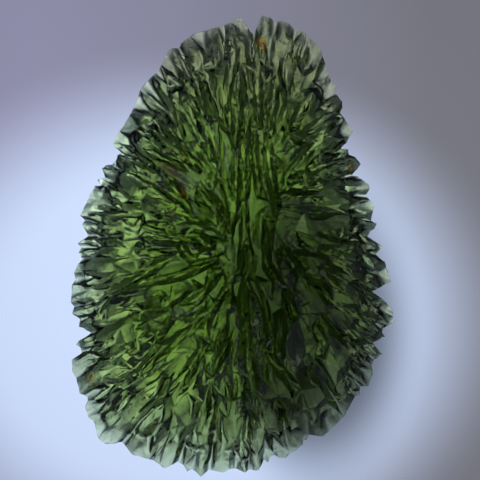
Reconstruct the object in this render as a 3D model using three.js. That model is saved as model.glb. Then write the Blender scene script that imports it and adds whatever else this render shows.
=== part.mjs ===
// A moldavite: one pear-shaped drop of natural green glass, deeply etched in the ground. Furrows fan out from
// a bundle of upright ones in its middle and leave sharp crests between them, and the thin rim ends in teeth.
// It lies on its back, as on a table: +Z is up, +Y runs to the narrow end, and the origin is under its middle
// at the height of the surface that it rests on. All sizes are in millimetres.
import * as THREE from "three";

// The lens that the etching started from: how far it bulges above and below its rim, and the point it bulges
// from. The back's lowest part is worn away to a flat that the stone rests on.
const FACE_BULGE = 5.6;
const BACK_BULGE = 3.7;
const BACK_WEAR = 0.35;
const RIM_HEIGHT = BACK_BULGE - BACK_WEAR;
const MIDDLE = { x: 0, y: -2 };

// The thick body ends at this share of the lens's reach, and this is how its bulge falls off towards there.
const BODY_REACH = 0.93;
const LENS_POWER = 2.2;
const LENS_EDGE = 1.1;

// Around the body runs a thin toothed brim: its width, and its share of the lens's thickness at the rim and
// at the body.
const BRIM = { width: 1.6, atRim: 0.06, atBody: 0.2 };

// The lens reaches this far from the middle, at equal angles counted from +X towards +Y.
const LENS_REACH = [
  16.7, 16.2, 17.1, 21.2, 25.5, 25.8, 23.5, 19.5, 16.9, 16.6,
  16.5, 17.4, 20.6, 22.5, 22.0, 21.4, 20.6, 19.8, 18.9, 17.9,
];

// The etching follows these lines: straight up and down in a band through the middle, and on each side of the
// band outwards from a focus beside it.
const BAND = { x: 1.8, halfWidth: 2.0 };
const FOCUS_Y = { left: 0.0, right: 4.0 };
const FAN_SPREAD = 1.7;

// The toothed rim, as seen from above, clockwise from the top. Tips and notches alternate.
const RIM = [
  // narrow end, right of the top notch
  [3.0, 23.0], [3.8, 22.8], [4.3, 22.4], [5.1, 22.5], [5.8, 22.2], [6.4, 21.5], [7.1, 21.4], [8.4, 20.2],
  [8.9, 19.5], [9.9, 16.4], [10.6, 15.8], [10.0, 15.4], [10.6, 15.0], [11.0, 14.4], [11.1, 13.8],
  [10.8, 13.3], [12.1, 11.5], [11.4, 10.2], [10.9, 9.7],
  // right shoulder
  [11.6, 9.6], [11.7, 9.1], [12.3, 8.9], [12.9, 8.1], [12.0, 7.0], [12.6, 6.9], [13.7, 6.1], [13.8, 5.7],
  [13.4, 5.0], [14.2, 4.0], [13.9, 2.5], [14.5, 2.2], [14.3, 1.7], [13.8, 1.4], [13.6, 0.9], [15.1, -0.1],
  [14.4, -0.9],
  // right flank, with its big teeth
  [15.3, -1.6], [15.9, -3.6], [14.0, -4.6], [15.4, -5.6], [16.0, -6.4], [16.2, -7.7], [15.1, -8.3],
  [15.0, -8.7], [15.3, -9.1], [14.1, -9.7], [15.1, -10.9], [14.2, -11.4], [14.0, -12.0], [14.1, -12.9],
  [13.6, -14.1], [12.8, -14.1], [12.8, -14.9], [12.3, -15.1], [11.2, -17.1], [9.1, -19.1], [7.7, -18.9],
  [7.5, -19.4], [7.1, -19.5], [7.1, -19.9], [6.4, -20.5],
  // broad end
  [5.8, -20.7], [5.4, -21.2], [4.7, -21.2], [4.2, -20.9], [3.8, -21.2], [3.6, -21.7], [3.2, -21.4],
  [2.7, -22.5], [1.7, -22.4], [1.3, -22.7], [0.4, -22.3], [-0.3, -22.4], [-0.8, -22.7], [-1.5, -22.6],
  [-2.3, -22.4], [-3.1, -23.1], [-4.0, -22.3], [-4.5, -22.6], [-4.8, -22.0], [-5.4, -21.6], [-6.7, -22.3],
  [-7.8, -21.5], [-10.0, -20.9], [-11.0, -19.7], [-12.6, -19.9], [-13.4, -19.3], [-13.7, -17.9],
  [-13.9, -17.5],
  // left flank, with its deep notch
  [-14.4, -17.2], [-14.7, -16.1], [-14.4, -15.5], [-14.5, -15.1], [-15.2, -14.8], [-15.6, -13.2],
  [-16.0, -12.6], [-16.0, -11.4], [-15.0, -10.7], [-15.2, -10.2], [-15.6, -9.9], [-15.3, -9.5], [-14.1, -8.7],
  [-15.3, -8.1], [-15.2, -7.4], [-16.0, -6.8], [-15.8, -6.1], [-16.1, -5.7], [-16.0, -4.0], [-15.7, -3.4],
  [-15.8, -2.7], [-15.4, -1.8], [-15.0, -1.4], [-15.4, -0.7], [-15.1, -0.2], [-15.5, 0.2],
  // left shoulder
  [-14.4, 1.0], [-15.0, 2.1], [-14.7, 2.5], [-15.2, 3.0], [-13.7, 6.0], [-13.1, 6.0], [-13.5, 6.6],
  [-12.7, 6.8], [-13.0, 7.7], [-12.5, 8.1], [-12.0, 8.1], [-11.5, 8.7], [-11.5, 9.1], [-11.1, 9.3],
  [-11.9, 10.0], [-11.7, 10.9],
  // narrow end, left of the top notch
  [-10.8, 12.0], [-9.6, 14.3], [-9.2, 15.6], [-8.6, 16.4], [-7.4, 17.4], [-6.5, 19.3], [-6.1, 19.7],
  [-5.3, 19.8], [-5.1, 20.2], [-3.8, 21.2], [-0.8, 22.0], [0.5, 22.7], [1.0, 22.7], [1.9, 21.3], [2.2, 21.2],
];

// The furrows of the face that can be told apart from a step away: width, depth, then the line each follows.
const FACE_FURROWS = [
  // upper left fan: fingers that point down to the middle, with deep channels between them
  [1.6, 0.9, [-6.8, 16.4], [-4.2, 15.7]],
  [1.1, 1.4, [-3.6, 17.0], [-3.1, 14.9], [-2.4, 12.0]],
  [1.0, 1.3, [-4.5, 15.1], [-3.7, 13.8], [-2.6, 11.8]],
  [1.2, 1.6, [-6.4, 14.4], [-5.6, 12.2], [-4.4, 9.4]],
  [1.2, 1.7, [-8.3, 13.3], [-6.8, 11.0], [-4.8, 9.2], [-3.0, 7.0]],
  [0.9, 1.1, [-9.3, 10.0], [-7.4, 9.0], [-6.0, 8.3], [-4.6, 6.9]],
  [1.0, 1.3, [-11.0, 9.6], [-8.6, 8.3], [-7.2, 7.1]],
  [0.9, 1.0, [-10.6, 7.4], [-8.8, 6.0], [-6.8, 5.4]],
  [0.9, 1.0, [-6.6, 6.6], [-5.2, 5.2], [-4.0, 3.9]],
  [1.0, 1.1, [-9.9, 12.6], [-8.2, 11.0], [-6.6, 9.6]],
  [0.9, 0.9, [-12.6, 6.6], [-10.4, 4.6], [-8.0, 4.0]],
  // the two dark hollows left of the middle
  [2.2, 1.9, [-3.4, 5.4], [-1.9, 3.8], [-1.4, 1.8]],
  [1.7, 1.8, [-4.0, 1.4], [-2.4, -0.1], [-0.4, 0.1]],
  [1.0, 1.2, [-5.5, 1.8], [-4.9, -0.2], [-3.9, -1.6]],
  // left fan
  [0.9, 0.9, [-8.3, 3.8], [-9.3, 1.6], [-9.2, -0.1]],
  [1.1, 1.1, [-12.9, 2.9], [-13.7, 1.9], [-14.8, 0.8]],
  [1.1, 1.2, [-13.7, 1.4], [-13.0, 0.2], [-12.5, -0.8]],
  [0.9, 1.0, [-15.8, -1.4], [-14.0, -1.0], [-12.6, -0.4]],
  [0.9, 1.0, [-15.8, -3.2], [-13.7, -3.7], [-12.2, -2.8], [-10.2, -2.1]],
  [1.0, 1.2, [-5.4, -1.5], [-7.6, -2.3], [-9.7, -3.6], [-11.8, -4.7], [-13.4, -6.4], [-15.9, -7.4]],
  [1.2, 1.4, [-5.8, -6.1], [-9.5, -6.5], [-11.7, -7.6], [-13.5, -8.5], [-15.4, -8.9]],
  [1.3, 1.3, [-4.7, -8.7], [-7.4, -10.5], [-9.5, -12.9]],
  [1.0, 1.0, [-16.0, -10.5], [-13.8, -10.9], [-11.0, -11.8]],
  [1.8, 1.1, [-6.5, -12.6], [-8.2, -15.0]],
  [1.7, 1.1, [-6.3, -14.7], [-7.3, -17.6]],
  [0.9, 0.8, [-11.7, -17.1], [-10.6, -16.0], [-9.7, -14.2]],
  [1.0, 0.9, [-15.4, -15.4], [-12.8, -14.6], [-10.6, -13.0]],
  // ledges along the broad end, where the thin rim starts
  [1.1, 1.0, [-10.6, -18.6], [-8.9, -19.1], [-7.2, -19.3]],
  [1.0, 1.0, [-4.8, -19.9], [-3.6, -20.5], [-2.1, -20.0]],
  [1.2, 1.1, [-0.5, -20.0], [0.4, -21.1], [2.2, -21.6]],
  [0.9, 0.8, [-13.2, -17.0], [-12.7, -18.0], [-13.6, -18.9]],
  [0.9, 0.9, [4.0, -20.3], [6.4, -20.1]],
  // narrow end
  [1.1, 1.4, [2.1, 22.4], [1.8, 19.4], [2.2, 16.8]],
  [1.2, 1.7, [2.4, 18.4], [2.6, 14.4], [2.7, 11.4]],
  [1.2, 1.7, [4.2, 16.9], [4.0, 14.4], [3.9, 11.7]],
  [1.4, 1.6, [0.6, 15.4], [0.6, 12.6], [0.2, 9.4]],
  [1.1, 1.4, [-1.6, 14.8], [-1.0, 12.6], [-0.3, 10.8]],
  [1.2, 0.9, [-2.4, 18.6], [-1.3, 17.2]],
  [1.4, 1.1, [5.2, 19.6], [5.4, 16.4], [5.8, 13.6]],
  [1.0, 1.0, [-0.4, 21.6], [0.2, 19.4], [0.4, 17.0]],
  [1.0, 1.0, [-4.6, 20.4], [-4.4, 18.8], [-4.8, 17.2]],
  [1.0, 1.0, [7.4, 20.8], [6.8, 18.6], [7.2, 17.0]],
  // the bundle of upright furrows through the middle
  [0.9, 1.5, [2.1, 11.8], [2.3, 8.4], [2.6, 5.9], [2.7, 3.7]],
  [1.2, 1.7, [3.5, 11.4], [3.6, 8.4], [4.2, 4.6], [4.5, 2.6]],
  [1.4, 1.0, [-1.2, 9.2], [-1.6, 7.4], [-1.9, 5.6]],
  [1.0, 1.0, [0.5, 9.1], [0.4, 6.4], [0.6, 3.7]],
  [0.9, 1.0, [1.4, 4.4], [1.2, 1.6], [0.9, -1.0]],
  [1.0, 1.5, [3.3, 1.1], [3.4, -1.8], [4.4, -3.4], [4.5, -5.6]],
  [1.1, 1.4, [5.3, 0.8], [5.1, -2.0]],
  [0.9, 1.2, [2.5, -2.8], [2.9, -4.8], [3.0, -6.1]],
  [1.2, 1.9, [2.3, -1.6], [1.3, -3.2], [1.1, -5.6], [1.5, -9.6], [2.1, -12.8], [2.7, -15.6]],
  [0.9, 1.2, [0.0, -8.0], [-0.6, -10.0], [-1.4, -11.6], [-2.0, -13.0]],
  [0.9, 1.1, [-1.0, -13.4], [-0.1, -15.0], [0.5, -16.8]],
  [0.9, 1.0, [-1.6, -14.2], [-1.9, -16.2], [-2.5, -18.6]],
  [1.0, 1.1, [-1.0, -16.2], [-1.0, -18.4], [-0.6, -20.0]],
  [1.1, 1.0, [-4.0, -17.4], [-3.6, -18.8], [-3.4, -20.1]],
  [0.9, 0.9, [-5.3, -17.6], [-5.6, -19.7]],
  [0.9, 0.9, [-2.0, -4.6], [-2.3, -7.0], [-2.9, -9.6]],
  // right shoulder
  [1.5, 1.7, [5.4, 11.1], [7.0, 10.5], [8.9, 10.3]],
  [1.1, 1.4, [8.8, 9.0], [10.0, 9.4], [11.6, 9.9]],
  [1.3, 1.3, [6.8, 6.6], [8.1, 7.6], [9.3, 8.5]],
  [1.4, 1.5, [4.6, 5.6], [6.6, 5.7], [9.0, 5.7]],
  [1.2, 1.0, [7.5, 15.8], [9.9, 15.9]],
  [1.5, 0.9, [5.0, 14.6], [6.7, 14.6]],
  [1.1, 1.0, [8.4, 13.9], [10.2, 13.2]],
  [1.4, 1.2, [3.9, 8.8], [5.1, 7.4]],
  [1.0, 1.1, [10.4, 5.4], [12.3, 5.4], [13.6, 4.7]],
  [0.9, 0.9, [6.6, 2.5], [9.0, 3.0], [11.2, 3.7]],
  [1.0, 1.1, [10.6, 7.6], [12.6, 7.1]],
  // right fan
  [1.0, 1.2, [8.4, 1.2], [10.8, 0.8], [12.6, 0.3]],
  [1.0, 1.1, [12.4, 0.4], [13.0, -1.2], [13.7, -2.2], [13.0, -3.8]],
  [0.9, 1.0, [12.8, -3.9], [14.6, -4.8]],
  [1.1, 1.2, [6.6, -0.8], [8.8, -0.5], [12.0, -0.3]],
  [1.2, 1.6, [4.9, -3.4], [5.5, -5.4], [6.4, -7.6]],
  [1.4, 1.8, [4.5, -6.0], [4.9, -8.4], [4.3, -10.6]],
  [1.3, 1.7, [3.1, -9.4], [4.0, -11.4], [5.4, -13.0], [7.0, -15.5]],
  [1.0, 1.3, [3.2, -14.2], [4.8, -15.6], [5.7, -16.8]],
  [1.2, 1.1, [1.7, -16.4], [2.7, -18.2]],
  [1.1, 1.1, [6.6, -8.4], [8.6, -10.6], [10.2, -12.8], [11.3, -15.0]],
  [1.0, 1.0, [7.6, -5.6], [9.8, -8.1], [12.0, -10.2]],
  [1.1, 1.0, [6.8, -3.0], [9.3, -5.1], [12.0, -6.7]],
  [1.2, 1.1, [6.6, -10.6], [7.7, -13.2], [8.6, -15.6]],
  [0.9, 1.0, [14.8, -9.7], [12.6, -9.9], [11.2, -9.3]],
  [0.8, 0.9, [15.4, -8.6], [14.0, -7.8], [13.5, -6.6]],
  [0.8, 0.9, [14.4, -12.2], [12.4, -10.8]],
  [0.9, 0.9, [6.8, -16.2], [7.3, -18.0], [8.0, -19.4]],
  [0.9, 0.9, [8.8, -15.2], [10.4, -16.8]],
  [0.9, 0.9, [13.2, -14.6], [11.6, -13.0], [10.8, -11.8]],
];

// The furrows of the back that show as dark patches through the stone.
const BACK_FURROWS = [
  [2.4, 1.5, [-3.9, 5.6], [-2.2, 3.8], [-1.2, 1.4]],
  [1.8, 1.3, [-4.2, 1.2], [-2.4, -0.2], [-0.4, 0.0]],
  [1.6, 1.4, [1.2, -3.5], [1.0, -6.0], [1.6, -10.0], [2.6, -15.0]],
  [2.0, 1.4, [5.0, -5.5], [6.0, -9.0], [7.5, -13.0]],
  [2.0, 1.3, [8.5, -5.0], [10.5, -8.5], [12.0, -11.0]],
  [1.8, 1.3, [5.5, 5.8], [8.5, 6.0]],
  [1.8, 1.3, [5.6, 11.2], [8.6, 10.4]],
];

// Rounder and shallower furrows fill the face and the back between those: how many are tried, the ranges of
// their widths, depths and lengths, how much they widen from the middle to the rim, how far they turn off the
// lines of the etching, and the share of the reach that they start from.
const FACE_FILL = {
  tries: 8000,
  seed: 7,
  width: [0.9, 1.5],
  depth: [0.6, 1.2],
  length: [3, 8],
  widening: 0.8,
  turn: 0.2,
  from: 0,
};
const BACK_FILL = {
  tries: 3000,
  seed: 23,
  width: [1.3, 2.1],
  depth: [0.6, 1.2],
  length: [4, 9],
  widening: 0.4,
  turn: 0.2,
  from: 0.3,
};

// The lines of the furrows that fill start at least this many of their mean width from each other line. All lines
// are followed in steps of this length.
const APART = 0.85;
const TRACE_STEP = 0.8;

// Furrows also run in from the notches of the rim, on both sides of the stone.
const NOTCH_DEPTH = 0.2;
const NOTCH_FURROW = { width: [0.8, 1.3], depth: [0.6, 1.0], length: [2.0, 4.5], beyond: 1.2, seed: 5 };

// A furrow narrows to this share of its width and rises towards both ends, and it takes at most this share of
// the glass. Those that were placed are steep-walled, nearly a V across, and the others have a round floor.
const STEEP_POWER = 1.3;
const ROUND_POWER = 2;
const TIP_WIDTH = 0.35;
const DEEPEST_SHARE = 0.34;

// The surface is measured at places this far apart and a little clear of the rim, whose own edges are no
// longer than RIM_EDGE. The net of triangles over it is refined until it is this good or has this many. Then
// edges are turned to follow the crests, in this many passes, where no triangle gets thinner than this.
const SAMPLE_STEP = 0.2;
const SAMPLE_JITTER = 0.03;
const SAMPLE_SEED = 3;
const RIM_EDGE = 0.75;
const RIM_CLEARANCE = 0.38;
const CLOSEST_POINTS = 0.24;
const GOOD_ENOUGH = 0.02;
const TURN_PASSES = 12;
const THINNEST_TRIANGLE = 0.16;
const FACE_TRIANGLES = 6500;
const BACK_TRIANGLES = 2500;

const RIM_BOX = new THREE.Box2().setFromPoints(RIM.map(([x, y]) => new THREE.Vector2(x, y)));

// A small repeatable random number source, the same each time the part is built.
function seeded(seed) {
  let state = seed;
  return (low, high) => {
    state = (state * 16807) % 2147483647;
    return low + ((high - low) * state) / 2147483647;
  };
}

// The lens's reach at an angle, on a smooth closed curve through LENS_REACH.
function reach(angle) {
  const count = LENS_REACH.length;
  const place = ((angle / (2 * Math.PI)) * count + 2 * count) % count;
  const first = Math.floor(place);
  const [a, b, c, d] = [-1, 0, 1, 2].map((step) => LENS_REACH[(first + step + count) % count]);
  const t = place - first;
  return b + 0.5 * t * (c - a + t * (2 * a - 5 * b + 4 * c - d + t * (3 * (b - c) + d - a)));
}

// How far out a point lies, as a share of the lens's reach in its direction.
function shareAt(x, y) {
  const [dx, dy] = [x - MIDDLE.x, y - MIDDLE.y];
  return Math.hypot(dx, dy) / reach(Math.atan2(dy, dx));
}

function rimDistance(x, y) {
  return RIM.reduce((least, [ax, ay], i) => {
    const [bx, by] = RIM[(i + 1) % RIM.length];
    const [dx, dy] = [bx - ax, by - ay];
    const t = Math.min(Math.max(((x - ax) * dx + (y - ay) * dy) / (dx ** 2 + dy ** 2), 0), 1);
    return Math.min(least, Math.hypot(x - ax - dx * t, y - ay - dy * t));
  }, Infinity);
}

// The lens's height above or below the rim's plane, as a share of its bulge.
function lensShare(x, y) {
  const body = Math.max(1 - (shareAt(x, y) / BODY_REACH) ** LENS_POWER, 0) ** LENS_EDGE;
  const inwards = Math.min(rimDistance(x, y) / BRIM.width, 1);
  return Math.hypot(body, BRIM.atRim + (BRIM.atBody - BRIM.atRim) * inwards);
}

// The direction that the etching follows at a point, turned by an angle.
function flow(x, y, turn) {
  const aside = x - BAND.x;
  const outside = Math.sign(aside) * Math.max(Math.abs(aside) - BAND.halfWidth, 0);
  const toRight = Math.min(Math.max(0.5 + aside / (2 * BAND.halfWidth), 0), 1);
  const focusY = FOCUS_Y.left + (FOCUS_Y.right - FOCUS_Y.left) * toRight;
  const direction = new THREE.Vector2(FAN_SPREAD * outside, y - focusY);
  const heading = direction.length() < 1e-6 ? new THREE.Vector2(0, 1) : direction.normalize();
  return heading.rotateAround(new THREE.Vector2(0, 0), turn);
}

// The line that starts at a point and follows the turned flow for a length: backwards if that is negative.
function flowLine(x, y, length, turn = 0) {
  const steps = Math.max(1, Math.round(Math.abs(length) / TRACE_STEP));
  const line = [[x, y]];
  let heading = flow(x, y, turn).multiplyScalar(Math.sign(length));
  for (let step = 0; step < steps; step++) {
    const [lastX, lastY] = line[line.length - 1];
    const next = flow(lastX, lastY, turn);
    heading = next.dot(heading) < 0 ? next.negate() : next;
    const stride = Math.abs(length) / steps;
    line.push([lastX + heading.x * stride, lastY + heading.y * stride]);
  }
  return line;
}

// A furrow, with its line measured so that places along it can be found.
function furrow(width, depth, line, power) {
  const lengths = line.slice(1).map(([x, y], i) => Math.hypot(x - line[i][0], y - line[i][1]));
  const total = lengths.reduce((sum, length) => sum + length, 0);
  const box = new THREE.Box2().setFromPoints(line.map(([x, y]) => new THREE.Vector2(x, y)));
  return { width, depth, line, power, lengths, total, box: box.expandByScalar(width) };
}

// The distance from a point to a furrow's line, and how far along the line the nearest place is.
function nearest(hollow, x, y) {
  let best = { distance: Infinity, along: 0 };
  let passed = 0;
  hollow.lengths.forEach((length, i) => {
    const [ax, ay] = hollow.line[i];
    const [bx, by] = hollow.line[i + 1];
    const t = Math.min(Math.max(((x - ax) * (bx - ax) + (y - ay) * (by - ay)) / length ** 2, 0), 1);
    const distance = Math.hypot(x - ax - (bx - ax) * t, y - ay - (by - ay) * t);
    if (distance < best.distance) {
      best = { distance, along: (passed + length * t) / hollow.total };
    }
    passed += length;
  });
  return best;
}

function isInside(x, y) {
  return RIM.reduce((inside, [ax, ay], i) => {
    const [bx, by] = RIM[(i + 1) % RIM.length];
    return ay > y !== by > y && x < ((bx - ax) * (y - ay)) / (by - ay) + ax ? !inside : inside;
  }, false);
}

// How far a rim point lies inside the line between its neighbours, above zero at a notch.
function notchDepth(number) {
  const [before, at, after] = [-1, 0, 1].map((step) => RIM[(number + step + RIM.length) % RIM.length]);
  const [dx, dy] = [after[0] - before[0], after[1] - before[1]];
  return ((at[1] - before[1]) * dx - (at[0] - before[0]) * dy) / -Math.hypot(dx, dy);
}

// The furrows that run in from the rim's notches. Each starts just outside the rim and follows the flow in.
function notchFurrows() {
  const random = seeded(NOTCH_FURROW.seed);
  const notches = RIM.filter((_, number) => notchDepth(number) > NOTCH_DEPTH);
  return notches.map(([x, y]) => {
    const outwards = new THREE.Vector2(x - MIDDLE.x, y - MIDDLE.y).dot(flow(x, y, 0)) > 0 ? 1 : -1;
    const outer = flowLine(x, y, outwards * NOTCH_FURROW.beyond).reverse();
    const inner = flowLine(x, y, -outwards * random(...NOTCH_FURROW.length));
    const line = [...outer, ...inner.slice(1)];
    return furrow(random(...NOTCH_FURROW.width), random(...NOTCH_FURROW.depth), line, ROUND_POWER);
  });
}

// Furrows at random places along the flow, wherever those that are there already leave room.
function filled(furrows, fill) {
  const random = seeded(fill.seed);
  const all = [...furrows];
  for (let attempt = 0; attempt < fill.tries; attempt++) {
    const x = random(RIM_BOX.min.x, RIM_BOX.max.x);
    const y = random(RIM_BOX.min.y, RIM_BOX.max.y);
    const share = shareAt(x, y);
    const width = random(...fill.width) * (1 + fill.widening * (share - 0.5));
    const [depth, length] = [random(...fill.depth), random(...fill.length)];
    const turn = random(-fill.turn, fill.turn);
    const crowded = (other) => nearest(other, x, y).distance < (APART * (width + other.width)) / 2;
    if (!isInside(x, y) || share < fill.from || all.some(crowded)) {
      continue;
    }
    const back = flowLine(x, y, -length / 2, turn).reverse();
    const line = [...back, ...flowLine(x, y, length / 2, turn).slice(1)];
    all.push(furrow(width, depth, line, ROUND_POWER));
  }
  return all;
}

// How deep the furrows lie under the lens at a point. Where two meet, the lower one wins and leaves a crest.
function reliefAt(furrows, x, y, deepest) {
  let relief = 0;
  for (const hollow of furrows) {
    const { min, max } = hollow.box;
    if (x < min.x || x > max.x || y < min.y || y > max.y) {
      continue;
    }
    const { distance, along } = nearest(hollow, x, y);
    const swell = Math.sin(Math.PI * along) ** 0.6;
    const half = (hollow.width / 2) * (TIP_WIDTH + (1 - TIP_WIDTH) * swell);
    const depth = Math.min(hollow.depth, deepest) * swell;
    relief = Math.min(relief, depth * ((distance / half) ** hollow.power - 1));
  }
  return relief;
}

function placed(furrows) {
  return furrows.map(([width, depth, ...line]) => furrow(width, depth, line, STEEP_POWER));
}

const faceFurrows = filled([...placed(FACE_FURROWS), ...notchFurrows()], FACE_FILL);
const backFurrows = filled([...placed(BACK_FURROWS), ...notchFurrows()], BACK_FILL);

function faceHeight(x, y) {
  const share = lensShare(x, y);
  const deepest = DEEPEST_SHARE * share * (FACE_BULGE + BACK_BULGE);
  return RIM_HEIGHT + share * FACE_BULGE + reliefAt(faceFurrows, x, y, deepest);
}

// The back's height is never below the flat that the stone rests on.
function backHeight(x, y) {
  const share = lensShare(x, y);
  const deepest = DEEPEST_SHARE * share * (FACE_BULGE + BACK_BULGE);
  return Math.max(RIM_HEIGHT - share * BACK_BULGE - reliefAt(backFurrows, x, y, deepest), 0);
}

// The rim with its longer edges divided.
function rimPoints() {
  return RIM.flatMap(([x, y], i) => {
    const [nextX, nextY] = RIM[(i + 1) % RIM.length];
    const parts = Math.ceil(Math.hypot(nextX - x, nextY - y) / RIM_EDGE);
    return Array.from({ length: parts }, (_, part) => [
      x + ((nextX - x) * part) / parts,
      y + ((nextY - y) * part) / parts,
    ]);
  });
}

// Whether a point lies inside the circle through a triangle's corners, which run counterclockwise.
function inCircle([ax, ay], [bx, by], [cx, cy], [x, y]) {
  const [pax, pay, pbx, pby, pcx, pcy] = [ax - x, ay - y, bx - x, by - y, cx - x, cy - y];
  const [a, b, c] = [pax ** 2 + pay ** 2, pbx ** 2 + pby ** 2, pcx ** 2 + pcy ** 2];
  return pax * (pby * c - b * pcy) - pay * (pbx * c - b * pcx) + a * (pbx * pcy - pby * pcx) > 0;
}

// A net of triangles over points in the plane, in which no triangle's circle holds another point.
function addToNet(net, point) {
  const number = net.points.push(point) - 1;
  const border = new Map();
  net.triangles = net.triangles.filter((triangle) => {
    if (!inCircle(...triangle.map((corner) => net.points[corner]), point)) {
      return true;
    }
    triangle.forEach((from, i) => {
      const to = triangle[(i + 1) % 3];
      if (!border.delete(to + "/" + from)) {
        border.set(from + "/" + to, [from, to]);
      }
    });
    return false;
  });
  border.forEach(([from, to]) => net.triangles.push([from, to, number]));
}

// The net's triangles that lie inside the rim.
function innerTriangles(net) {
  return net.triangles.filter((triangle) => {
    if (triangle.some((corner) => corner < 3)) {
      return false;
    }
    const [a, b, c] = triangle.map((corner) => net.points[corner]);
    return isInside((a[0] + b[0] + c[0]) / 3, (a[1] + b[1] + c[1]) / 3);
  });
}

// The places where the surface is measured, each a little off a regular grid and clear of the rim.
function samplePlaces(rim) {
  const random = seeded(SAMPLE_SEED);
  const places = [];
  for (let gridX = RIM_BOX.min.x; gridX < RIM_BOX.max.x; gridX += SAMPLE_STEP) {
    for (let gridY = RIM_BOX.min.y; gridY < RIM_BOX.max.y; gridY += SAMPLE_STEP) {
      const x = gridX + random(-SAMPLE_JITTER, SAMPLE_JITTER);
      const y = gridY + random(-SAMPLE_JITTER, SAMPLE_JITTER);
      if (isInside(x, y) && rim.every(([rimX, rimY]) => Math.hypot(rimX - x, rimY - y) > RIM_CLEARANCE)) {
        places.push([x, y]);
      }
    }
  }
  return places;
}

// The measured places, kept by the square millimetre they lie in.
function squaresOf(samples) {
  const squares = new Map();
  samples.forEach((sample) => {
    const key = Math.floor(sample[0]) + "/" + Math.floor(sample[1]);
    squares.set(key, [...(squares.get(key) ?? []), sample]);
  });
  return squares;
}

function doubleArea([ax, ay], [bx, by], [cx, cy]) {
  return (bx - ax) * (cy - ay) - (cx - ax) * (by - ay);
}

// How well a triangle fits the surface: the sum of how far it is off at the measured places in it, and the
// place where it is furthest off.
function fitOf([a, b, c], squares) {
  const area = doubleArea(a, b, c);
  let sum = 0;
  let worst = { error: GOOD_ENOUGH };
  for (let i = Math.floor(Math.min(a[0], b[0], c[0])); i <= Math.max(a[0], b[0], c[0]); i++) {
    for (let j = Math.floor(Math.min(a[1], b[1], c[1])); j <= Math.max(a[1], b[1], c[1]); j++) {
      for (const sample of squares.get(i + "/" + j) ?? []) {
        const [x, y, z] = sample;
        const u = ((x - a[0]) * (c[1] - a[1]) - (c[0] - a[0]) * (y - a[1])) / area;
        const v = ((b[0] - a[0]) * (y - a[1]) - (x - a[0]) * (b[1] - a[1])) / area;
        const error = Math.abs(z - a[2] - u * (b[2] - a[2]) - v * (c[2] - a[2]));
        if (u < 0 || v < 0 || u + v > 1) {
          continue;
        }
        sum += error;
        const isClear = ([otherX, otherY]) => Math.hypot(otherX - x, otherY - y) > CLOSEST_POINTS;
        if (error > worst.error && [a, b, c].every(isClear)) {
          worst = { error, sample };
        }
      }
    }
  }
  return { sum, worst };
}

// Turns an edge that two triangles share into the other diagonal of their quadrangle, where that fits the
// surface better. It lines the edges up with the crests and the floors of the furrows.
function turnEdges(points, triangles, squares) {
  const fits = triangles.map((triangle) => fitOf(triangle.map((corner) => points[corner]), squares).sum);
  const owner = new Map();
  triangles.forEach((triangle, number) => {
    triangle.forEach((from, i) => {
      const to = triangle[(i + 1) % 3];
      owner.set(from + "/" + to, [number, from, to]);
    });
  });
  const turned = new Set();
  owner.forEach(([one, from, to]) => {
    const [other] = owner.get(to + "/" + from) ?? [one];
    if (from > to || turned.has(one) || turned.has(other) || one === other) {
      return;
    }
    const left = triangles[one].find((corner) => corner !== from && corner !== to);
    const right = triangles[other].find((corner) => corner !== from && corner !== to);
    const candidates = [[right, to, left], [left, from, right]];
    const shapes = candidates.map((triangle) => triangle.map((corner) => points[corner]));
    const span = Math.hypot(points[left][0] - points[right][0], points[left][1] - points[right][1]);
    if (shapes.some((shape) => doubleArea(...shape) < span * THINNEST_TRIANGLE)) {
      return;
    }
    const sums = shapes.map((shape) => fitOf(shape, squares).sum);
    if (sums[0] + sums[1] < fits[one] + fits[other] - GOOD_ENOUGH) {
      [triangles[one], triangles[other]] = candidates;
      [fits[one], fits[other]] = sums;
      turned.add(one).add(other);
    }
  });
}

// A net over one side of the stone. It starts from the rim, and points are added where it is furthest off the
// surface until it has as many triangles as it may. Its first three points form a big triangle around them.
function sideNet(rim, places, heightAt, most) {
  const net = {
    points: [
      [-400, -300],
      [400, -300],
      [0, 500],
    ],
    triangles: [[0, 1, 2]],
  };
  rim.forEach(([x, y]) => addToNet(net, [x, y, heightAt(x, y)]));
  const squares = squaresOf(places.map(([x, y]) => [x, y, heightAt(x, y)]));
  let inner = innerTriangles(net);
  let chosen = [];
  do {
    const worst = inner
      .map((triangle) => fitOf(triangle.map((corner) => net.points[corner]), squares).worst)
      .filter(({ sample }) => sample)
      .sort((one, other) => other.error - one.error);
    const room = Math.ceil((most - inner.length) / 2);
    chosen = worst.slice(0, Math.min(room, Math.ceil(worst.length / 2)));
    chosen.forEach(({ sample }) => addToNet(net, sample));
    inner = innerTriangles(net);
  } while (chosen.length && inner.length < most);
  for (let pass = 0; pass < TURN_PASSES; pass++) {
    turnEdges(net.points, inner, squares);
  }
  return {
    points: net.points.slice(3),
    triangles: inner.map((triangle) => triangle.map((corner) => corner - 3)),
  };
}

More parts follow.
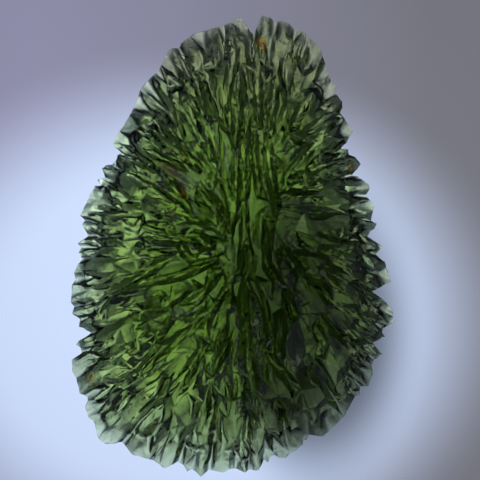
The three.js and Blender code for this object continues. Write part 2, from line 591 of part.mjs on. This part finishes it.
// The stone's skin: the net of the face, that of the back turned over, and the narrow edge between them.
function stoneSkin() {
  const rim = rimPoints();
  const places = samplePlaces(rim);
  const face = sideNet(rim, places, faceHeight, FACE_TRIANGLES);
  const back = sideNet(rim, places, backHeight, BACK_TRIANGLES);
  const shift = face.points.length;
  const faces = [
    ...face.triangles,
    ...back.triangles.map(([a, b, c]) => [shift + a, shift + c, shift + b]),
    ...rim.flatMap((_, i) => {
      const next = (i + 1) % rim.length;
      return [
        [i, next, shift + i],
        [next, shift + next, shift + i],
      ];
    }),
  ];
  const geometry = new THREE.BufferGeometry();
  const points = [...face.points, ...back.points];
  geometry.setAttribute("position", new THREE.Float32BufferAttribute(points.flat(), 3));
  geometry.setIndex(faces.flat());
  return geometry;
}

const glass = new THREE.MeshStandardMaterial({ color: 0x3f6b2a, roughness: 0.12, metalness: 0 });
glass.name = "moldavite_glass";
const stone = new THREE.Mesh(stoneSkin(), glass);
stone.name = "moldavite";

const middle = RIM_BOX.getCenter(new THREE.Vector2());
stone.position.set(-middle.x, -middle.y, 0);

const group = new THREE.Group();
group.add(stone);

export default group;
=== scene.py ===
"""A moldavite on a pale light table, seen from straight above.

The solid from the frame gives the stone its body, its furrows and its toothed rim. This script
rounds the furrows, keeps the crests between them sharp, etches fine wrinkles along them, and makes
the glass, the table and the lights. Lengths are in metres, and +Y runs to the narrow end of the
stone.
"""

import math

import bpy
import numpy as np
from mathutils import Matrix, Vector


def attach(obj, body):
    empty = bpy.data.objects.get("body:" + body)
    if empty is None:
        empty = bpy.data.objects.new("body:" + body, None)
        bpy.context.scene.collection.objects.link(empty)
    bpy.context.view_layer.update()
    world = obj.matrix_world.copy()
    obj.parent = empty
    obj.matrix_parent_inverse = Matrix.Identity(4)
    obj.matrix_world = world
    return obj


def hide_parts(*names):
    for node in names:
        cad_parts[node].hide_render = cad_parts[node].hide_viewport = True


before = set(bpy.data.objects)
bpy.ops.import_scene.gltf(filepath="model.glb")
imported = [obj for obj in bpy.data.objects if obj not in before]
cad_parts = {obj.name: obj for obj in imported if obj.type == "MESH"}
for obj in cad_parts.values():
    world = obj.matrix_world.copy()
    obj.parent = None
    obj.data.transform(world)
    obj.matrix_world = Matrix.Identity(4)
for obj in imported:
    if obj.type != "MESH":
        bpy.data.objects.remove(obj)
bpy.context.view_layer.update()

# The stone's skin
# A flat drop of green glass, thrown out by a meteorite's impact and etched in the ground. The
# solid's edges are split until short, and its points settle towards their neighbours, which rounds
# the furrows. A crest's points settle along it only. The rim's edge and the flat stay put.
MM = 0.001
MERGE_STEP = 0.001 * MM
RIM_HEIGHT = 3.35 * MM
FACE_EDGE = 0.33 * MM
BACK_EDGE = 0.52 * MM
SPLIT_PASSES = 5
CREST_ANGLE = math.radians(24)
SETTLE_SHARE = 0.5
RIM_EDGE_SLOPE = 0.03
FLAT_HEIGHT = 0.002 * MM


def merged_mesh(node):
    """The points and triangles of a CAD node, with its doubled points merged."""
    mesh = node.data
    points = np.zeros(len(mesh.vertices) * 3)
    mesh.vertices.foreach_get("co", points)
    points = points.reshape(-1, 3)
    mesh.calc_loop_triangles()
    corners = np.zeros(len(mesh.loop_triangles) * 3, int)
    mesh.loop_triangles.foreach_get("vertices", corners)
    steps = np.round(points / MERGE_STEP)
    _, first, place = np.unique(steps, axis=0, return_index=True, return_inverse=True)
    return points[first], place.ravel()[corners].reshape(-1, 3)


def triangle_normals(points, triangles):
    a, b, c = (points[triangles[:, i]] for i in range(3))
    normals = np.cross(b - a, c - a)
    return normals / np.linalg.norm(normals, axis=1, keepdims=True)


def edges_of(triangles):
    """Every edge once, and for each triangle the numbers of its edges ab, bc and ca."""
    pairs = np.concatenate([triangles[:, [0, 1]], triangles[:, [1, 2]], triangles[:, [2, 0]]])
    edges, place = np.unique(np.sort(pairs, axis=1), axis=0, return_inverse=True)
    return edges, place.reshape(3, -1)


def crest_edges(points, triangles):
    """Which edges stick out, with at least the crest angle between their two triangles."""
    normals = triangle_normals(points, triangles)
    edges, place = edges_of(triangles)
    order = np.argsort(place.ravel(), kind="stable")
    one, other = order.reshape(-1, 2).T % len(triangles)
    opposite = triangles[other].sum(axis=1) - edges.sum(axis=1)
    turn = np.einsum("ij,ij->i", normals[one], normals[other])
    outward = np.einsum("ij,ij->i", points[opposite] - points[edges[:, 0]], normals[one]) < 0
    return outward & (turn < math.cos(CREST_ANGLE))


def split_long(points, triangles, crest):
    """Splits the edges that are too long, and their triangles. A crest's halves are crests."""
    edges, place = edges_of(triangles)
    ends = points[edges]
    longest = np.where(ends[:, :, 2].mean(axis=1) > RIM_HEIGHT, FACE_EDGE, BACK_EDGE)
    cut = np.linalg.norm(ends[:, 0] - ends[:, 1], axis=1) > longest
    middles = np.full(len(edges), -1)
    middles[cut] = len(points) + np.arange(cut.sum())
    points = np.concatenate([points, ends[cut].mean(axis=1)])

    # each triangle is turned until its cut edges come first
    cuts = cut[place].sum(axis=0)
    only_cut = cut[place].argmax(axis=0)
    after_whole = cut[place].argmin(axis=0) + 1
    first = np.where(cuts == 1, only_cut, np.where(cuts == 2, after_whole, 0))
    turned = (first + np.arange(3)[:, None]) % 3
    a, b, c = np.take_along_axis(triangles.T, turned, axis=0)
    ab, bc, ca = np.take_along_axis(middles[place], turned, axis=0)
    pieces = {
        0: ((a, b, c),),
        1: ((a, ab, c), (ab, b, c)),
        2: ((ab, b, bc), (a, ab, bc), (a, bc, c)),
        3: ((a, ab, ca), (b, bc, ab), (c, ca, bc), (ab, bc, ca)),
    }
    triangles = np.concatenate(
        [np.stack(piece, axis=1)[cuts == count] for count in pieces for piece in pieces[count]]
    )

    halves = [np.stack([edges[crest & cut, i], middles[crest & cut]], axis=1) for i in (0, 1)]
    known = np.sort(np.concatenate([edges[crest & ~cut], *halves]), axis=1)
    new_edges, _ = edges_of(triangles)
    to_number = [len(points), 1]
    return points, triangles, np.isin(new_edges @ to_number, known @ to_number)


def settle(points, triangles, crest, fixed):
    """Moves each free point part of the way to the middle of its neighbours."""
    edges, _ = edges_of(triangles)
    on_crest = np.zeros(len(points), bool)
    on_crest[edges[crest].ravel()] = True
    start = np.concatenate([edges[:, 0], edges[:, 1]])
    end = np.concatenate([edges[:, 1], edges[:, 0]])
    counts = ~on_crest[start] | np.concatenate([crest, crest])
    start, end = start[counts], end[counts]
    neighbours = np.maximum(np.bincount(start, minlength=len(points)), 1)
    sums = [np.bincount(start, points[end, axis], minlength=len(points)) for axis in range(3)]
    middles = np.stack(sums, axis=1) / neighbours[:, None]
    return points + np.where(fixed, 0.0, SETTLE_SHARE)[:, None] * (middles - points)


points, triangles = merged_mesh(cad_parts["moldavite"])
crest = crest_edges(points, triangles)
for _ in range(SPLIT_PASSES):
    points, triangles, crest = split_long(points, triangles, crest)
fixed = points[:, 2] < FLAT_HEIGHT
rim_edge = np.abs(triangle_normals(points, triangles)[:, 2]) < RIM_EDGE_SLOPE
fixed[triangles[rim_edge].ravel()] = True
points = settle(points, triangles, crest, fixed)

# The direction of the etching
# The acids ate along lines that run upright in the middle band, and outwards from a focus on each
# side. Each point keeps its place across and along them, so patterns that read it follow the
# furrows and widen towards the rim. The back's places are shifted, to differ from the face's.
BAND_X = 1.8 * MM
BAND_HALF = 2.0 * MM
BAND_UNIT = 8 * MM
FOCUS_Y = (0.0, 4.0 * MM)
FAN_SPREAD = 1.7
FAN_UNIT = 10 * MM
FOCUS_SIZE = 0.1 * MM
ALONG_UNIT = 110 * MM
BACK_SHIFT = 3.0


def flow_places(points):
    """A place for each point, which changes fast across the lines of etching and slowly along them."""
    aside = points[:, 0] - BAND_X
    outside = np.sign(aside) * np.maximum(np.abs(aside) - BAND_HALF, 0)
    to_right = np.clip(0.5 + aside / (2 * BAND_HALF), 0, 1)
    up = points[:, 1] - (FOCUS_Y[0] + (FOCUS_Y[1] - FOCUS_Y[0]) * to_right)
    bent = np.sign(up) * FAN_UNIT * (np.abs(up) / FAN_UNIT) ** FAN_SPREAD
    length = np.maximum(np.hypot(outside, bent), FOCUS_SIZE)
    across = np.stack([outside / length, bent / length], axis=1)
    across[:, 0] += np.clip(aside, -BAND_HALF, BAND_HALF) / BAND_UNIT
    along = np.hypot(outside, up) / ALONG_UNIT + (points[:, 2] < RIM_HEIGHT) * BACK_SHIFT
    return np.column_stack([across, along])


mesh = bpy.data.meshes.new("moldavite_stone")
mesh.from_pydata(points.tolist(), [], triangles.tolist())
flow = mesh.attributes.new("flow", "FLOAT_VECTOR", "POINT")
flow.data.foreach_set("vector", flow_places(points).astype(np.float32).ravel())
stone = bpy.data.objects.new("moldavite_stone", mesh)
bpy.context.scene.collection.objects.link(stone)

# Moldavite: natural impact glass
# Clear glass that takes its colour from its depth: bottle green where thick, nearly clear at the
# rim. The etched skin has a silky gloss with faint streaks and fine pits. Iron stains a few spots:
# for each, the middle and half sizes in millimetres, the turn in degrees, and the colour.
GLASS_IOR = 1.49
GLASS_ROUGHNESS = 0.03
GLASS_TINT = "#ebf7da"
ABSORBED = (268.0, 204.0, 490.0)
STREAK_SCALE = 34.0
STREAK_DEPTH = 0.06 * MM
STREAK_STRENGTH = 0.3
PIT_SIZE = 0.7 * MM
PIT_DEPTH = 0.1 * MM
PIT_STRENGTH = 0.4
STAINS = (
    ((2.95, 20.1), (0.7, 1.2), 10.0, "#f0c45c"),
    ((-5.8, 7.3), (1.6, 0.8), -35.0, "#dd9c4c"),
    ((-5.05, 5.5), (0.7, 1.6), 20.0, "#a04a26"),
    ((11.75, 7.9), (0.5, 0.6), 0.0, "#e0b464"),
    ((-13.95, -13.1), (0.5, 0.5), 0.0, "#d9b47a"),
)
STAIN_HEIGHT = 30 * MM
STAIN_FRAY = 0.8
STAIN_EDGE = (0.2, 0.5)


def linear(colour):
    """A hex colour, as seen on a screen, as the linear colour that a node takes."""
    parts = [int(colour[i : i + 2], 16) / 255 for i in (1, 3, 5)]
    return [*(c / 12.92 if c <= 0.04045 else ((c + 0.055) / 1.055) ** 2.4 for c in parts), 1.0]


def add(tree, kind, inputs=None, **settings):
    """Adds a node. An input, by name or number, is a value or the socket it is linked from."""
    node = tree.nodes.new(kind)
    for name, value in settings.items():
        setattr(node, name, value)
    for name, value in (inputs or {}).items():
        if isinstance(value, bpy.types.NodeSocket):
            tree.links.new(value, node.inputs[name])
        else:
            node.inputs[name].default_value = value
    return node


def new_material(name):
    material = bpy.data.materials.new(name)
    material.use_nodes = True
    material.node_tree.nodes.clear()
    return material, material.node_tree


glass, tree = new_material("moldavite_glass")
place = add(tree, "ShaderNodeTexCoord").outputs["Object"]
along = add(tree, "ShaderNodeAttribute", attribute_name="flow").outputs["Vector"]
streaks = add(
    tree,
    "ShaderNodeTexNoise",
    {"Vector": along, "Scale": STREAK_SCALE, "Detail": 3.0, "Roughness": 0.6},
)
pits = add(
    tree,
    "ShaderNodeTexNoise",
    {"Vector": place, "Scale": 1 / PIT_SIZE, "Detail": 3.0, "Roughness": 0.6},
)
streaked = add(
    tree,
    "ShaderNodeBump",
    {"Strength": STREAK_STRENGTH, "Distance": STREAK_DEPTH, "Height": streaks.outputs["Fac"]},
)
pitted = add(
    tree,
    "ShaderNodeBump",
    {
        "Strength": PIT_STRENGTH,
        "Distance": PIT_DEPTH,
        "Height": pits.outputs["Fac"],
        "Normal": streaked.outputs["Normal"],
    },
)
frayed = add(
    tree,
    "ShaderNodeMath",
    {0: pits.outputs["Fac"], 1: STAIN_FRAY, 2: -STAIN_FRAY / 2},
    operation="MULTIPLY_ADD",
)
tint = linear(GLASS_TINT)
for middle, half_size, turn, rust in STAINS:
    around = add(
        tree,
        "ShaderNodeMapping",
        {
            "Vector": place,
            "Location": (middle[0] * MM, middle[1] * MM, RIM_HEIGHT),
            "Rotation": (0.0, 0.0, math.radians(turn)),
            "Scale": (half_size[0] * MM, half_size[1] * MM, STAIN_HEIGHT),
        },
        vector_type="TEXTURE",
    )
    spot = add(
        tree,
        "ShaderNodeTexGradient",
        {"Vector": around.outputs["Vector"]},
        gradient_type="SPHERICAL",
    )
    ragged = add(
        tree,
        "ShaderNodeMath",
        {0: spot.outputs["Fac"], 1: frayed.outputs[0]},
        operation="ADD",
    )
    rusted = add(
        tree,
        "ShaderNodeMapRange",
        {"Value": ragged.outputs[0], "From Min": STAIN_EDGE[0], "From Max": STAIN_EDGE[1]},
        interpolation_type="SMOOTHSTEP",
    )
    stained = add(
        tree,
        "ShaderNodeMix",
        {"Factor": rusted.outputs["Result"], 6: tint, 7: linear(rust)},
        data_type="RGBA",
    )
    tint = stained.outputs[2]
shader = add(
    tree,
    "ShaderNodeBsdfPrincipled",
    {
        "Base Color": tint,
        "Roughness": GLASS_ROUGHNESS,
        "IOR": GLASS_IOR,
        "Transmission Weight": 1.0,
        "Normal": pitted.outputs["Normal"],
    },
)
density = max(ABSORBED)
volume = add(
    tree,
    "ShaderNodeVolumeAbsorption",
    {"Color": [*(1 - absorbed / density for absorbed in ABSORBED), 1.0], "Density": density},
)
add(
    tree,
    "ShaderNodeOutputMaterial",
    {"Surface": shader.outputs["BSDF"], "Volume": volume.outputs["Volume"]},
)

# Fine wrinkles
# The last of the etching, finer than the furrows: sharp little crests along the flow, with wider
# grooves between them. They go only inwards, so the stone keeps within its solid.
WRINKLE_DEPTH = 0.18 * MM
WRINKLE_SCALE = 14.0
WRINKLE_SEED = 4.0
WRINKLE_SLOPE = 4.0
SHARP_ANGLE = math.radians(40)


def input_id(group, name):
    items = group.interface.items_tree
    return next(item.identifier for item in items if item.name == name and item.in_out == "INPUT")


etching = bpy.data.node_groups.new("fine_wrinkles", "GeometryNodeTree")
etching.interface.new_socket("Geometry", in_out="INPUT", socket_type="NodeSocketGeometry")
for name in ("Wrinkle depth", "Wrinkle scale", "Seed"):
    etching.interface.new_socket(name, in_out="INPUT", socket_type="NodeSocketFloat")
etching.interface.new_socket("Glass", in_out="INPUT", socket_type="NodeSocketMaterial")
etching.interface.new_socket("Geometry", in_out="OUTPUT", socket_type="NodeSocketGeometry")
given = add(etching, "NodeGroupInput").outputs
flow_read = add(
    etching,
    "GeometryNodeInputNamedAttribute",
    {"Name": "flow"},
    data_type="FLOAT_VECTOR",
)
noise = add(
    etching,
    "ShaderNodeTexNoise",
    {
        "Vector": flow_read.outputs["Attribute"],
        "W": given["Seed"],
        "Scale": given["Wrinkle scale"],
        "Detail": 2.0,
        "Roughness": 0.5,
    },
    noise_dimensions="4D",
)
centred = add(
    etching,
    "ShaderNodeMath",
    {0: noise.outputs["Fac"], 1: WRINKLE_SLOPE, 2: -WRINKLE_SLOPE / 2},
    operation="MULTIPLY_ADD",
)
groove = add(etching, "ShaderNodeMath", {0: centred.outputs[0]}, operation="ABSOLUTE")
shallow = add(etching, "ShaderNodeMath", {0: groove.outputs[0], 1: 1.0}, operation="MINIMUM")
depth = add(
    etching,
    "ShaderNodeMath",
    {0: shallow.outputs[0], 1: given["Wrinkle depth"]},
    operation="MULTIPLY",
)
inwards = add(etching, "ShaderNodeMath", {0: depth.outputs[0], 1: -1.0}, operation="MULTIPLY")
normal = add(etching, "GeometryNodeInputNormal")
offset = add(
    etching,
    "ShaderNodeVectorMath",
    {0: normal.outputs["Normal"], "Scale": inwards.outputs[0]},
    operation="SCALE",
)
etched = add(
    etching,
    "GeometryNodeSetPosition",
    {"Geometry": given["Geometry"], "Offset": offset.outputs["Vector"]},
)
realised = add(etching, "GeometryNodeRealizeInstances", {"Geometry": etched.outputs["Geometry"]})
glazed = add(
    etching,
    "GeometryNodeSetMaterial",
    {"Geometry": realised.outputs["Geometry"], "Material": given["Glass"]},
)
add(etching, "NodeGroupOutput", {"Geometry": glazed.outputs["Geometry"]})

modifier = stone.modifiers.new("fine_wrinkles", "NODES")
modifier.node_group = etching
modifier[input_id(etching, "Wrinkle depth")] = WRINKLE_DEPTH
modifier[input_id(etching, "Wrinkle scale")] = WRINKLE_SCALE
modifier[input_id(etching, "Seed")] = WRINKLE_SEED
modifier[input_id(etching, "Glass")] = glass
evaluated = stone.evaluated_get(bpy.context.evaluated_depsgraph_get())
plain = bpy.data.meshes.new_from_object(evaluated)
stone.modifiers.clear()
stone.data = plain
bpy.data.meshes.remove(mesh)
plain.name = "moldavite_stone"
plain.shade_smooth()
plain.set_sharp_from_angle(angle=SHARP_ANGLE)

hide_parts("moldavite")
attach(stone, "root")

# The table
# A pale opal pane over a lamp. The light it lets through is painted into its see-through colour: a
# wide pool of bluish light, violet light to its left and grey light to its right, and painted shade,
# less light, behind the stone's lower right part. The opal in it scatters a little light.
TABLE_SIZE = 1.6
LEFT_COLOUR = "#9290aa"
RIGHT_COLOUR = "#76767c"
SIDES = (-0.02, 0.02)
POOL_COLOUR = "#d2e2ff"
POOL_MIDDLE = (-0.005, -0.008)
POOL_HALF_SIZE = (0.040, 0.033)
POOL_EDGE = (0.12, 0.56)
# Painted shade behind the stone's lower right part: its middle and half size in metres, its soft edge,
# and the share of light it keeps.
PAINTED_SHADE_MIDDLE = (0.0078, -0.0085)
PAINTED_SHADE_HALF_SIZE = (0.0122, 0.018)
PAINTED_SHADE_EDGE = (0.0, 0.5)
PAINTED_SHADE_SHARE = 0.22
OPAL_COLOUR = "#a9a6b4"
OPAL_SHARE = 0.2
pane, tree = new_material("opal_pane_with_painted_light")
place = add(tree, "ShaderNodeTexCoord").outputs["Object"]
across = add(tree, "ShaderNodeSeparateXYZ", {"Vector": place}).outputs["X"]
# Painted light: the pane lets violet light through on the left and grey light on the right.
side = add(
    tree,
    "ShaderNodeMapRange",
    {"Value": across, "From Min": SIDES[0], "From Max": SIDES[1]},
)
unlit = add(
    tree,
    "ShaderNodeMix",
    {"Factor": side.outputs["Result"], 6: linear(LEFT_COLOUR), 7: linear(RIGHT_COLOUR)},
    data_type="RGBA",
)
# Painted pool of light: inside a soft ellipse, the pane lets bluish light through.
around_pool = add(
    tree,
    "ShaderNodeMapping",
    {"Vector": place, "Location": (*POOL_MIDDLE, 0.0), "Scale": (*POOL_HALF_SIZE, 1.0)},
    vector_type="TEXTURE",
)
from_pool = add(
    tree,
    "ShaderNodeTexGradient",
    {"Vector": around_pool.outputs["Vector"]},
    gradient_type="SPHERICAL",
)
pool = add(
    tree,
    "ShaderNodeMapRange",
    {"Value": from_pool.outputs["Fac"], "From Min": POOL_EDGE[0], "From Max": POOL_EDGE[1]},
    interpolation_type="SMOOTHSTEP",
)
lit = add(
    tree,
    "ShaderNodeMix",
    {"Factor": pool.outputs["Result"], 6: unlit.outputs[2], 7: linear(POOL_COLOUR)},
    data_type="RGBA",
)
# Painted shade: behind the stone's lower right part, the pane lets less light through.
around_painted_shade = add(
    tree,
    "ShaderNodeMapping",
    {"Vector": place, "Location": (*PAINTED_SHADE_MIDDLE, 0.0), "Scale": (*PAINTED_SHADE_HALF_SIZE, 1.0)},
    vector_type="TEXTURE",
)
from_painted_shade = add(
    tree,
    "ShaderNodeTexGradient",
    {"Vector": around_painted_shade.outputs["Vector"]},
    gradient_type="SPHERICAL",
)
painted_shade = add(
    tree,
    "ShaderNodeMapRange",
    {
        "Value": from_painted_shade.outputs["Fac"],
        "From Min": PAINTED_SHADE_EDGE[0],
        "From Max": PAINTED_SHADE_EDGE[1],
        "To Min": 1.0,
        "To Max": PAINTED_SHADE_SHARE,
    },
    interpolation_type="SMOOTHSTEP",
)
let_through = add(
    tree,
    "ShaderNodeVectorMath",
    {0: lit.outputs[2], "Scale": painted_shade.outputs["Result"]},
    operation="SCALE",
)
clear = add(tree, "ShaderNodeBsdfTransparent", {"Color": let_through.outputs["Vector"]})
opal = add(tree, "ShaderNodeBsdfDiffuse", {"Color": linear(OPAL_COLOUR)})
mixed = add(
    tree,
    "ShaderNodeMixShader",
    {"Fac": OPAL_SHARE, 1: clear.outputs["BSDF"], 2: opal.outputs["BSDF"]},
)
add(tree, "ShaderNodeOutputMaterial", {"Surface": mixed.outputs["Shader"]})
table_mesh = bpy.data.meshes.new("table")
half = TABLE_SIZE / 2
corners = [(-half, -half, 0), (half, -half, 0), (half, half, 0), (-half, half, 0)]
table_mesh.from_pydata(corners, [], [(0, 1, 2, 3)])
table_mesh.materials.append(pane)
table = bpy.data.objects.new("table", table_mesh)
bpy.context.scene.collection.objects.link(table)

# The lights
# The lamp under the pane sends its light nearly straight up, so only what lies level in the stone
# looks bright. A torch between lamp and pane is seen only through the stone, and lifts its middle.
# Above are one broad soft light, high on the left, and a weak even sky.
LAMP_SIZE = 0.6
LAMP_PLACE = (0.0, 0.0, -0.01)
LAMP_SPREAD = math.radians(60)
LAMP_RADIANCE = 0.105
TORCH_WIDTH = 0.029
TORCH_LENGTH = 0.038
TORCH_PLACE = (-0.001, 0.006, -0.006)
TORCH_TURN = math.radians(12)
TORCH_SPREAD = math.radians(44)
TORCH_RADIANCE = 0.06
SOFT_SIZE = 0.4
SOFT_POWER = 0.28
SOFT_PLACE = (-0.2, 0.15, 0.45)
SKY_STRENGTH = 0.5


def add_light(name, size, power, colour, place, target, spread=math.pi):
    data = bpy.data.lights.new(name, "AREA")
    data.size = size
    data.energy = power
    data.color = linear(colour)[:3]
    data.spread = spread
    light = bpy.data.objects.new(name, data)
    light.location = place
    light.rotation_euler = (Vector(target) - Vector(place)).to_track_quat("-Z", "Y").to_euler()
    bpy.context.scene.collection.objects.link(light)
    return light


lamp = add_light(
    "lamp_under_the_pane",
    LAMP_SIZE,
    LAMP_RADIANCE * LAMP_SIZE**2 * math.pi,
    "#ffffff",
    LAMP_PLACE,
    (0.0, 0.0, 1.0),
    LAMP_SPREAD,
)
lamp.visible_camera = True
torch = add_light(
    "torch_behind_the_stone",
    TORCH_WIDTH,
    TORCH_RADIANCE * TORCH_WIDTH * TORCH_LENGTH * math.pi,
    "#fff3dc",
    TORCH_PLACE,
    (*TORCH_PLACE[:2], 1.0),
    TORCH_SPREAD,
)
torch.data.shape = "RECTANGLE"
torch.data.size_y = TORCH_LENGTH
torch.rotation_euler = (math.pi, 0.0, TORCH_TURN)
add_light("soft_light", SOFT_SIZE, SOFT_POWER, "#f2f6ff", SOFT_PLACE, (0.0, 0.0, 0.0))
world = bpy.data.worlds.new("soft_sky")
world.use_nodes = True
sky = world.node_tree.nodes["Background"]
sky.inputs["Color"].default_value = linear("#a0a6b4")
sky.inputs["Strength"].default_value = SKY_STRENGTH
bpy.context.scene.world = world

# The camera
# It looks straight down at the point in the middle of the photograph, from so far away that the
# stone's sides stay out of sight. At the height of the rim it sees 48 mm, a tenth of a millimetre
# for each of 480 pixels.
VIEW_WIDTH = 48 * MM
VIEW_MIDDLE = (0.75 * MM, 0.6 * MM)
LENS = 200.0
SENSOR = 36.0
camera_data = bpy.data.cameras.new("camera")
camera_data.lens = LENS
camera_data.sensor_width = SENSOR
camera = bpy.data.objects.new("camera", camera_data)
camera.location = (*VIEW_MIDDLE, RIM_HEIGHT + VIEW_WIDTH * LENS / SENSOR)
bpy.context.scene.collection.objects.link(camera)
bpy.context.scene.camera = camera
bpy.context.scene.view_settings.view_transform = "Standard"

bpy.context.view_layer.update()
